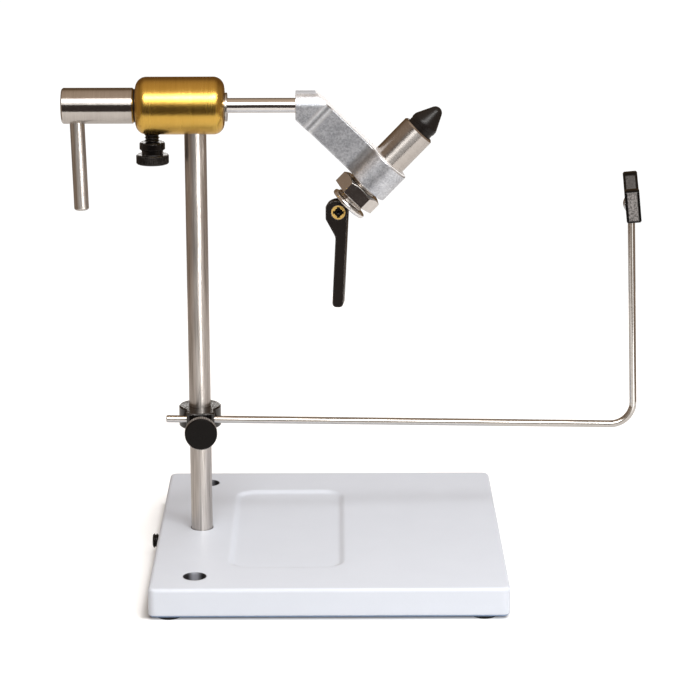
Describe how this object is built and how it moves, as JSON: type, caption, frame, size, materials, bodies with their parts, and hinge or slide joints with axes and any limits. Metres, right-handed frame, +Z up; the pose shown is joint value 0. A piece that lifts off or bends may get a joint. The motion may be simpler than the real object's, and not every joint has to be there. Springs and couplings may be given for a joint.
{
  "type": "fly tying vise",
  "caption": "Rotary fly tying vise on a pedestal base: split bullet jaws with a cam lever on an offset arm, crank, brake screw, and a cradle on a bent rod.",
  "frame": {"origin": "on the table, under the middle of the overall reach, in the plane of the stem", "axes": "+X from the crank towards the cradle's rest, +Y away from the tyer, +Z up"},
  "size_m": [0.2524, 0.1588, 0.2181],
  "materials": {
    "base_coat": "fine pale grey powder coat",
    "foot_rubber": "matte black",
    "stainless": "turned and polished",
    "satin_brass": "turned satin",
    "bearing_bronze": "plain bearing",
    "black_oxide": "black oxide, satin",
    "black_anodised": "black anodised, semi-gloss",
    "blasted_aluminium": "bead blasted",
    "dark_washer": "dark thrust washer",
    "spring_steel": "plain"
  },
  "bodies": {
    "base": {"base_plate": "base_coat", "rubber_feet": "foot_rubber", "stem": "stainless", "stem_set_screw": "black_oxide", "head_housing": "satin_brass", "front_bush": "bearing_bronze", "rear_bush": "bearing_bronze", "thrust_washer": "dark_washer"},
    "rotor": {"rotary_shaft": "stainless", "retaining_ring": "black_oxide", "crank_hub": "stainless", "hub_set_screw": "black_oxide", "crank_pin": "stainless", "offset_arm": "blasted_aluminium", "arm_set_screw": "black_oxide", "collet_sleeve": "stainless"},
    "brake_pad": {"tension_pad": "bearing_bronze"},
    "brake_screw": {"tension_screw": "black_oxide"},
    "nut": {"collet_nut": "stainless"},
    "cam_seat": {"cam_washer": "stainless"},
    "drawbar": {"draw_bar": "stainless", "pivot_bush": "satin_brass", "pivot_screw": "black_oxide", "jaw_spring": "spring_steel"},
    "lever": {"cam_lever": "black_oxide"},
    "near_jaw": {"jaw_near": "black_oxide"},
    "far_jaw": {"jaw_far": "black_oxide"},
    "collar": {"cradle_collar": "black_anodised"},
    "collar_screw": {"cradle_screw": "black_oxide"},
    "cradle": {"cradle_rod": "stainless"},
    "rest": {"cradle_fork": "black_anodised", "fork_screw": "stainless"}
  },
  "joints": [
    {"name": "shaft_turn", "type": "hinge", "parent": "base", "child": "rotor", "pos_m": [-0.06867, 0, 0.20575], "axis": [1, 0, 0], "continuous": true},
    {"name": "brake_screw_turn", "type": "hinge", "parent": "brake_pad", "child": "brake_screw", "pos_m": [-0.08727, 0, 0.20047], "axis": [0, 0, -1], "range_deg": [0, 364]},
    {"name": "brake_pad_slide", "type": "slide", "parent": "base", "child": "brake_pad", "axis": [0, 0, -1], "range_m": [0, 0.00127]},
    {"name": "nut_turn", "type": "hinge", "parent": "rotor", "child": "nut", "pos_m": [-0.00076, 0, 0.16558], "axis": [0.6947, 0, 0.7193], "range_deg": [-180, 180]},
    {"name": "collet_swivel", "type": "hinge", "parent": "rotor", "child": "cam_seat", "pos_m": [-0.00378, 0, 0.16245], "axis": [0.6947, 0, 0.7193], "range_deg": [-180, 180]},
    {"name": "draw_slide", "type": "slide", "parent": "cam_seat", "child": "drawbar", "axis": [-0.6947, 0, -0.7193], "range_m": [0, 0.0017]},
    {"name": "lever_swing", "type": "hinge", "parent": "drawbar", "child": "lever", "pos_m": [-0.00677, 0, 0.15936], "axis": [0.0752, 0.9945, -0.0726], "range_deg": [0, 91]},
    {"name": "near_jaw_close", "type": "hinge", "parent": "drawbar", "child": "near_jaw", "pos_m": [0.02143, 0, 0.18856], "axis": [-0.7154, 0.1045, 0.6909], "range_deg": [0, 0.7]},
    {"name": "far_jaw_close", "type": "hinge", "parent": "drawbar", "child": "far_jaw", "pos_m": [0.02143, 0, 0.18856], "axis": [0.7154, -0.1045, -0.6909], "range_deg": [0, 0.7]},
    {"name": "cradle_swing", "type": "hinge", "parent": "base", "child": "collar", "pos_m": [-0.06867, 0, 0.06715], "axis": [0, 0, 1], "range_deg": [-120, 120]},
    {"name": "collar_screw_turn", "type": "hinge", "parent": "collar", "child": "collar_screw", "pos_m": [-0.06817, -0.00802, 0.06715], "axis": [0.0628, -0.998, 0], "range_deg": [0, 360]},
    {"name": "cradle_reach", "type": "slide", "parent": "collar", "child": "cradle", "axis": [0.9974, 0.0628, -0.034], "range_m": [-0.05, 0.006]},
    {"name": "rest_turn", "type": "hinge", "parent": "cradle", "child": "rest", "pos_m": [0.12091, 0.00551, 0.15706], "axis": [-0.0366, -0.0023, 0.9993], "range_deg": [-90, 90]}
  ],
  "couplings": [
    {"joint": "brake_screw_turn", "follows": "brake_pad_slide", "rad_per_m": 4947.4},
    {"joint": "lever_swing", "follows": "draw_slide", "rad_per_m": 924},
    {"joint": "near_jaw_close", "follows": "draw_slide", "rad_per_m": 6.9813},
    {"joint": "far_jaw_close", "follows": "draw_slide", "rad_per_m": 6.9813}
  ]
}
